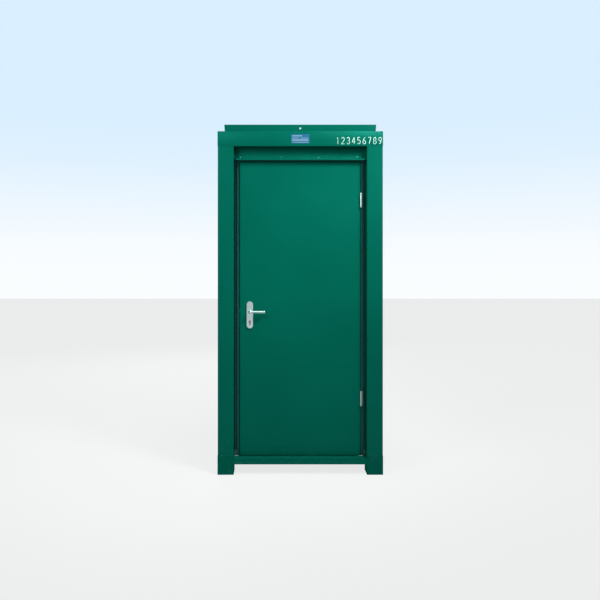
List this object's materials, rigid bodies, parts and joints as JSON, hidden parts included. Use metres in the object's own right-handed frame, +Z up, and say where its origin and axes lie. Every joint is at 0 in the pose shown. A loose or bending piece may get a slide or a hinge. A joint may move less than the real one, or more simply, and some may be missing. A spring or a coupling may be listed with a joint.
{
  "type": "walk-in parcel locker",
  "caption": "Walk-in steel parcel locker cabin on corner feet, with a recessed side-hinged door, lever handles, cylinder lock and drip rail.",
  "frame": {"origin": "middle of the footprint on the ground, between the four corner feet", "axes": "+Z up, the door faces -Y, +X towards the hinge side of the door (a viewer's right, facing the door)"},
  "size_m": [1.2, 1.4, 2.54],
  "materials": {
    "green_paint": "satin",
    "lining_board": "satin",
    "floor_board": "matte",
    "honeycomb_board": "matte",
    "black_rubber": "matte",
    "stainless_steel": "satin",
    "zinc_steel": "satin",
    "brass": "satin",
    "aluminium": "satin",
    "blue_plate": "satin"
  },
  "bodies": {
    "cabin": {"front_left_foot": "green_paint", "front_left_post": "green_paint", "front_right_foot": "green_paint", "front_right_post": "green_paint", "rear_left_foot": "green_paint", "rear_left_post": "green_paint", "rear_right_foot": "green_paint", "rear_right_post": "green_paint", "front_base_rail": "green_paint", "front_top_rail": "green_paint", "rear_base_rail": "green_paint", "rear_top_rail": "green_paint", "left_base_rail": "green_paint", "left_top_rail": "green_paint", "right_base_rail": "green_paint", "right_top_rail": "green_paint", "floor_deck": "floor_board", "roof_sheet": "zinc_steel", "front_roof_upstand": "green_paint", "rear_roof_upstand": "green_paint", "left_wall_sheet": "green_paint", "right_wall_sheet": "green_paint", "rear_wall_sheet": "green_paint", "left_lining": "lining_board", "right_lining": "lining_board", "rear_lining": "lining_board", "ceiling_panel": "lining_board", "head_lining": "lining_board", "head_panel": "green_paint", "drip_rail": "green_paint", "frame_head": "green_paint", "hinge_jamb": "green_paint", "lock_jamb": "green_paint", "door_sill": "green_paint", "threshold_stop": "aluminium", "top_seal": "black_rubber", "hinge_side_seal": "black_rubber", "lock_side_seal": "black_rubber", "strike_plate": "zinc_steel", "name_plate": "blue_plate", "upper_frame_hinge": "zinc_steel", "lower_frame_hinge": "zinc_steel", "upper_hinge_pin": "zinc_steel", "lower_hinge_pin": "zinc_steel"},
    "door": {"door_outer_skin": "green_paint", "door_core": "honeycomb_board", "door_inner_skin": "green_paint", "upper_door_hinge": "zinc_steel", "lower_door_hinge": "zinc_steel", "lock_case": "zinc_steel", "cylinder_body": "brass", "outer_backplate": "stainless_steel", "inner_backplate": "stainless_steel"},
    "handle": {"outer_lever": "stainless_steel", "inner_lever": "stainless_steel", "spindle": "zinc_steel", "lock_hub": "zinc_steel"},
    "latch": {"latch_bolt": "zinc_steel"},
    "bolt": {"dead_bolt": "zinc_steel"},
    "key_plug": {"cylinder_plug": "brass"}
  },
  "joints": [
    {"name": "door_hinge", "type": "hinge", "parent": "cabin", "child": "door", "pos_m": [0.446, -0.6535, 1.21], "axis": [0, 0, 1], "range_deg": [0, 115]},
    {"name": "handle_turn", "type": "hinge", "parent": "door", "child": "handle", "pos_m": [-0.3675, -0.62, 1.178], "axis": [0, 1, 0], "range_deg": [0, 40], "stiffness_Nm_per_rad": 1.5, "springref_deg": -28.65},
    {"name": "latch_slide", "type": "slide", "parent": "door", "child": "latch", "axis": [1, 0, 0], "range_m": [0, 0.011]},
    {"name": "key_turn", "type": "hinge", "parent": "door", "child": "key_plug", "pos_m": [-0.3675, -0.62, 1.106], "axis": [0, 1, 0], "range_deg": [0, 360]},
    {"name": "dead_bolt_slide", "type": "slide", "parent": "door", "child": "bolt", "axis": [-1, 0, 0], "range_m": [0, 0.014]}
  ],
  "couplings": [
    {"joint": "latch_slide", "follows": "handle_turn", "m_per_rad": 0.01575},
    {"joint": "key_turn", "follows": "dead_bolt_slide", "rad_per_m": 448.79}
  ]
}
